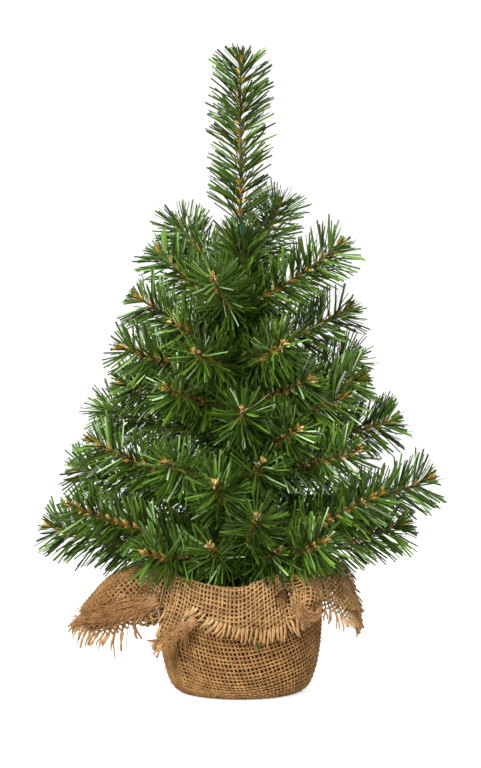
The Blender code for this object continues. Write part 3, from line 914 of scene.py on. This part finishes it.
# ---------------------------------------------------------------- The fringe
# The hem is frayed, so the uprights run on past the last cross thread, each opened into two thick strands that
# sag. They are combed to the left at the left of the front, and longest on the left flap.
STRANDS = 2
FRINGE_STEPS = 9
ends = np.repeat(number, STRANDS)
count = len(ends)
hem = hem_for(ends)
azimuth = thread_azimuth(ends.astype(float), hem)
start, around, upward, face = cloth_frame(azimuth, hem - 0.0012)
strand_length = np.repeat(weaver.uniform(0.0085, 0.0115, UPRIGHTS), STRANDS)
strand_length *= weaver.uniform(0.85, 1.05, count)
strand_length *= 1 + 0.3 * np.exp(-(((azimuth - 192) / 14) ** 2))
t = np.linspace(0, 1, FRINGE_STEPS)[None, :, None]
spread_out = around * weaver.normal(0, 0.10, count)[:, None] + face * weaver.normal(0.04, 0.12, count)[:, None]
gather = np.repeat(weaver.normal(0, 0.22, UPRIGHTS // 2 + 1), 2)[:UPRIGHTS].repeat(STRANDS)
combed = -0.75 * np.exp(-(((azimuth - 243) / 17) ** 2))
lean = around * (gather + combed)[:, None]
sag = np.array([0, 0, -1.0]) * weaver.uniform(0.05, 0.25, count)[:, None]
wave = around * (0.0005 * np.sin(weaver.uniform(0, math.tau, count)))[:, None]
reach = strand_length[:, None, None]
fibre = (
    start[:, None]
    + around[:, None] * ((np.arange(count) % STRANDS - 0.5) * 0.0009)[:, None, None]
    + upward[:, None] * reach * (t - 0.18 * t**2)
    + (spread_out + lean)[:, None] * reach * t**1.5
    + sag[:, None] * reach * t**2
    + wave[:, None] * np.sin(math.tau * t)
)
fibre[..., 2] = np.maximum(fibre[..., 2], 0.002)
thin = 0.00078 * (1 - 0.30 * t[..., 0] ** 3) * np.repeat(weaver.uniform(0.8, 1.2, UPRIGHTS), STRANDS)[:, None]
wide, thick = np.broadcast_to(around[:, None], fibre.shape), np.broadcast_to(face[:, None], fibre.shape)
fringe_points = tubes(fibre, wide, thick, thin * 1.15, thin).reshape(-1, 3)
frayed = jute_material("frayed_jute", (0.17, 0.090, 0.034), (0.47, 0.298, 0.140))
fringe = lay_mesh("burlap_fringe", fringe_points, tube_quads(np.ones(fibre.shape[:2], bool)), frayed, True)
with_spun_map(fringe, t[..., 0] * 0.01 + np.arange(count)[:, None] * 0.13)


# ---------------------------------------------------------------- The bunch and its hollow
# At the right of the front a corner of the cloth is crumpled into a ball: a round patch of the same weave,
# turned about its middle more and more towards it, that stands out as a dome with folds round a pit.
BUNCH_AZIMUTH = math.radians(313)
BUNCH_PLACE = (0.0655, 0.0680)  # its middle, as radius and height
BUNCH_RADIUS = 0.0135
BUNCH_TWIST = 1.9  # turn of its middle, in radians
OUT = np.array([math.cos(BUNCH_AZIMUTH), math.sin(BUNCH_AZIMUTH), 0])
ASIDE = np.array([-math.sin(BUNCH_AZIMUTH), math.cos(BUNCH_AZIMUTH), 0])
UPWARD = np.array([0, 0, 1.0])


def bunch_threads(name, crosswise):
    """Threads of the bunch that run up it, or across it if crosswise."""
    held = np.arange(-5, 6) * THREAD_PITCH * 0.86
    along = np.linspace(-BUNCH_RADIUS, BUNCH_RADIUS, 46)
    run = np.broadcast_to(along[None], (len(held), len(along)))
    still = np.broadcast_to(held[:, None], run.shape)
    across, up = (run, still) if crosswise else (still, run)
    share = np.hypot(across, up) / BUNCH_RADIUS
    angle = np.arctan2(up, across) + BUNCH_TWIST * np.clip(1 - share, 0, 1) ** 1.5
    folds = np.sin(angle * 3 + 1.0) + 0.6 * np.sin(angle * 5 + share * 5)
    stand = 0.0062 * (1 - share**2) - 0.0014 + 0.0016 * folds * share * np.clip(1 - share, 0, 1) * 2
    stand -= 0.0030 * np.exp(-((share / 0.26) ** 2))
    weave = np.cos(math.pi * (run / THREAD_PITCH / 0.86 + np.arange(len(held))[:, None]))
    stand = stand + CRIMP * (weave if crosswise else -weave)
    reach = share * BUNCH_RADIUS
    middle = (
        OUT * (BUNCH_PLACE[0] + stand)[..., None]
        + ASIDE * (reach * np.cos(angle) * 1.05)[..., None]
        + UPWARD * (BUNCH_PLACE[1] + reach * np.sin(angle))[..., None]
    )
    forward = np.gradient(middle, axis=1)
    wide = np.cross(np.broadcast_to(OUT, middle.shape), forward)
    wide /= np.linalg.norm(wide, axis=-1, keepdims=True)
    breadth = THREAD_WIDE * (1 + weaver.normal(0, 0.09, share.shape))
    thick = np.broadcast_to(OUT, middle.shape)
    points = tubes(middle, wide, thick, breadth, np.full(share.shape, THREAD_THICK))
    piece = lay_mesh(name, points.reshape(-1, 3), tube_quads(share < 1)[:, ::-1], jute, True)
    with_spun_map(piece, run + np.arange(len(held))[:, None] * 0.31)
    return piece


bunch = bunch_threads("burlap_bunch_uprights", False)
bunch_across = bunch_threads("burlap_bunch_cross_threads", True)

# Beside the bunch the cloth is pushed in, into its own shade: a closed dish behind the gap in the cuff. Its dark
# brown adds painted shade to that.
DISH_TURNS = 28
HOLLOW_AZIMUTH = math.radians(298.5)
dish_out = np.array([math.cos(HOLLOW_AZIMUTH), math.sin(HOLLOW_AZIMUTH), 0])
dish_aside = np.array([-math.sin(HOLLOW_AZIMUTH), math.cos(HOLLOW_AZIMUTH), 0])
dish_share = np.array([0.02, 0.35, 0.7, 1.0, 1.0, 0.7, 0.35, 0.02])[:, None]
dish_face = np.array([-0.0009] * 4 + [0.0] * 4)[:, None]
dish_turn = np.linspace(0, math.tau, DISH_TURNS, endpoint=False)[None]
dish = (
    dish_out * (0.0545 + dish_face - 0.0016 * (1 - dish_share**2) + 0 * dish_turn)[..., None]
    + dish_aside * (0.0078 * dish_share * np.cos(dish_turn))[..., None]
    + UPWARD * (HOLLOW_PLACE[1] + 0.0098 * dish_share * np.sin(dish_turn))[..., None]
)
dish_quads = grid_quads(len(dish_share) + 1, DISH_TURNS, True) % (len(dish_share) * DISH_TURNS)
# Painted shade: the dish's brown is far darker than the jute's own.
painted_shade_brown = ((0.035, 0.016, 0.004), (0.140, 0.072, 0.024))
shaded_jute = mottled("shaded_jute", *painted_shade_brown, 700, 0.95, 1.0, specular=0.05)
hollow = lay_mesh("burlap_hollow", dish.reshape(-1, 3), dish_quads, shaded_jute, True)


# ---------------------------------------------------------------- The loose jute
# The cloth's edge has come apart into bands of loose fibres: along the front of the left flap, at the corner
# at the front left and round the bunch. Single fibres stand off the cloth, and one thread hangs at the left.
def frayed_band(name, path, spread, depth, strands, thread, splay):
    """Fibres combed along a smooth path in millimetres. Each starts and ends at its own places along it, keeps
    to its place across the band and through its depth, wanders a little as a sine, and splays at its end."""
    steps, fine_steps = 30, 90
    knots = np.array([path]) / 1000
    level_part, upper_part = (smooth_path(part, fine_steps)[0] for part in (knots[..., :2], knots[..., 1:]))
    line = np.concatenate([level_part, upper_part[:, 1:]], -1)
    forward = np.gradient(line, axis=0)
    forward /= np.linalg.norm(forward, axis=1, keepdims=True)
    level_side = np.cross(forward, [0, 0, 1.0])
    level_side /= np.linalg.norm(level_side, axis=1, keepdims=True)
    rise = np.cross(level_side, forward)
    begin = np.clip(weaver.uniform(-0.25, 0.66, strands), 0, 1)
    finish = np.minimum(begin + weaver.uniform(0.25, 0.60, strands), 1.0)
    s = np.linspace(0, 1, steps)[None]
    t = begin[:, None] + (finish - begin)[:, None] * s
    at = np.linspace(0, 1, fine_steps)

    def read(rows):
        return np.stack([np.interp(t, at, values) for values in rows.T], -1)

    half = np.interp(t, np.linspace(0, 1, len(spread)), np.array(spread) / 1000)
    place = weaver.normal(0, 0.55, (strands, 1))
    place = place + 0.22 * np.sin(s * 4 + weaver.uniform(0, math.tau, (strands, 1)))
    bulge = depth * (1 - np.minimum(place**2, 1)) + weaver.normal(0, 0.35 * depth, (strands, 1))
    wander = 0.0005 * np.sin(s * 8 + weaver.uniform(0, math.tau, (strands, 1)))
    loose_end = np.clip((s - 0.6) / 0.4, 0, 1) ** 1.6 * splay
    lifted = place * half + wander + loose_end * weaver.normal(-0.2, 0.8, (strands, 1))
    pushed = bulge + wander + loose_end * weaver.normal(0.1, 0.4, (strands, 1))
    middle = read(line) + read(rise) * lifted[..., None] - read(level_side) * pushed[..., None]
    run = np.gradient(middle, axis=1)
    run /= np.linalg.norm(run, axis=-1, keepdims=True)
    wide = np.cross(run, read(level_side))
    wide /= np.linalg.norm(wide, axis=-1, keepdims=True)
    thick = np.cross(wide, run)
    size = thread * weaver.uniform(0.6, 1.15, (strands, 1)) * (1 - 0.55 * s**3)
    points = tubes(middle, wide, thick, size, size * 0.8)
    quads = tube_quads(np.ones(t.shape, bool))[:, ::-1]
    piece = lay_mesh(name, points.reshape(-1, 3), quads, loose_jute, True)
    with_spun_map(piece, t * 0.05 + np.arange(strands)[:, None] * 0.21)
    return piece


loose_jute = jute_material("loose_jute", (0.13, 0.060, 0.022), (0.45, 0.255, 0.105))
flap_fray = frayed_band(
    "burlap_flap_fray",
    ((-56, -42, 69), (-66, -40, 65), (-80, -36, 61), (-94, -29, 55), (-106, -20, 52), (-114, -14, 55)),
    (4.5, 6.5, 7.0, 6.0, 4.6, 3.0), 0.0030, 270, 0.00036, 0.0060,
)
corner_fray = frayed_band(
    "burlap_corner_fray",
    ((-30, -58, 58), (-40, -59, 51), (-50, -57, 45), (-60, -53, 39)),
    (2.2, 3.0, 3.8, 4.6), 0.0016, 110, 0.00042, 0.0050,
)
bunch_fray = frayed_band(
    "burlap_bunch_fray",
    ((38, -57, 68), (42, -58, 62), (48, -56, 59.5), (54, -52, 62), (56, -49, 68)),
    (1.5, 2.4, 2.8, 2.4, 1.4), 0.0012, 70, 0.00040, 0.0030,
)

fibres = 1500
azimuth = weaver.uniform(0, 360, fibres)
up = weaver.uniform(0.03, 1, fibres) * np.interp(azimuth, AROUND, hem_at, period=360)
root, around, upward, face = cloth_frame(azimuth, up)
aim = face * weaver.uniform(0.1, 0.8, fibres)[:, None] + around * weaver.normal(0, 1, fibres)[:, None]
aim += upward * weaver.normal(0, 1, fibres)[:, None]
aim /= np.linalg.norm(aim, axis=1, keepdims=True)
bend = weaver.normal(0, 0.35, (fibres, 3))
fluff_lengths, fluff_widths = weaver.uniform(0.0015, 0.0042, fibres), np.full(fibres, 0.00012)
fluff_points, fluff_quads = strips(
    root + face * 0.0006, aim, upward + 0.01, bend, fluff_lengths, fluff_widths, 0.00010
)
fluff_points[:, 2] = np.maximum(fluff_points[:, 2], 0.0008)
fluff = lay_mesh("burlap_fluff", fluff_points, fluff_quads, frayed)
drop = np.linspace(0, 1, 24)
sway = -0.0772 - 0.0011 * drop + 0.0004 * np.sin(drop * 7)
hanging = np.stack([sway, -0.030 + 0 * drop, 0.0555 - 0.0225 * drop], -1)[None]
wide, thick = np.broadcast_to([1.0, 0, 0], hanging.shape), np.broadcast_to([0, -1.0, 0], hanging.shape)
loose_size = np.full((1, len(drop)), 0.00028)
loose_points = tubes(hanging, wide, thick, loose_size, loose_size).reshape(-1, 3)
loose_quads = tube_quads(np.ones(loose_size.shape, bool))
loose = lay_mesh("burlap_loose_thread", loose_points, loose_quads, frayed, True)
with_spun_map(loose, drop[None] * 0.02)


# ---------------------------------------------------------------- The burlap under the bowl, and as a whole
# The cloth is gathered flat under the bowl. It is one sheet, held by the twine under its cuff, and goes with
# the pot.
PATCH_TURNS = 72
rings = np.array([0.0015, 0.008, 0.016, 0.024, 0.0325, 0.0325, 0.024, 0.016, 0.008, 0.0015])
levels = np.array([0.0002] * 5 + [0.0019] * 5)
turn = np.linspace(0, math.tau, PATCH_TURNS, endpoint=False)
ring = rings[:, None]
patch = np.stack([ring * np.cos(turn), ring * np.sin(turn), levels[:, None] + 0 * turn], -1)
patch_quads = grid_quads(len(rings) + 1, PATCH_TURNS, True) % (len(rings) * PATCH_TURNS)
flat_jute = mottled("flat_jute", (0.20, 0.11, 0.045), (0.45, 0.29, 0.14), 900, 0.95, 1.0)
underside = lay_mesh("burlap_underside", patch.reshape(-1, 3), patch_quads, flat_jute)
others = [
    crosses, fringe, underside, fold_uprights, fold_crosses, right_uprights, right_crosses,
    flap_fray, corner_fray, bunch, bunch_across, bunch_fray, hollow, fluff, loose,
]
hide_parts("burlap_sack")
for piece in (uprights, *others):
    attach(piece, "base")


# ---------------------------------------------------------------- The scrap of needle and the twine
# Two dropped needles are caught in the weave below the cuff. The twine that ties the burlap to the bowl is a
# plain ring of jute string under the cuff, and stays as it is in the frame.
scrap_aim = np.array([[0.10, -0.05, -1.0], [-0.25, -0.08, 1.0]])
scrap_points, scrap_quads = strips(
    root=np.array([[0.0112, -0.0575, 0.0415], [0.0112, -0.0575, 0.0385]]),
    aim=scrap_aim / np.linalg.norm(scrap_aim, axis=1, keepdims=True),
    face=np.array([[1.0, 0, 0], [1.0, 0, 0]]),
    bend=np.zeros((2, 3)),
    length=np.array([0.0062, 0.0042]),
    width=np.array([0.0010, 0.0009]),
)
scrap = lay_mesh("needle_scrap", scrap_points, scrap_quads, green_film)
with_tone(scrap, np.array([0.42, 0.35]))
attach(scrap, "base")
dress("tie_twine", mottled("twine", (0.22, 0.13, 0.05), (0.45, 0.30, 0.15), 700, 0.9, 0.8))
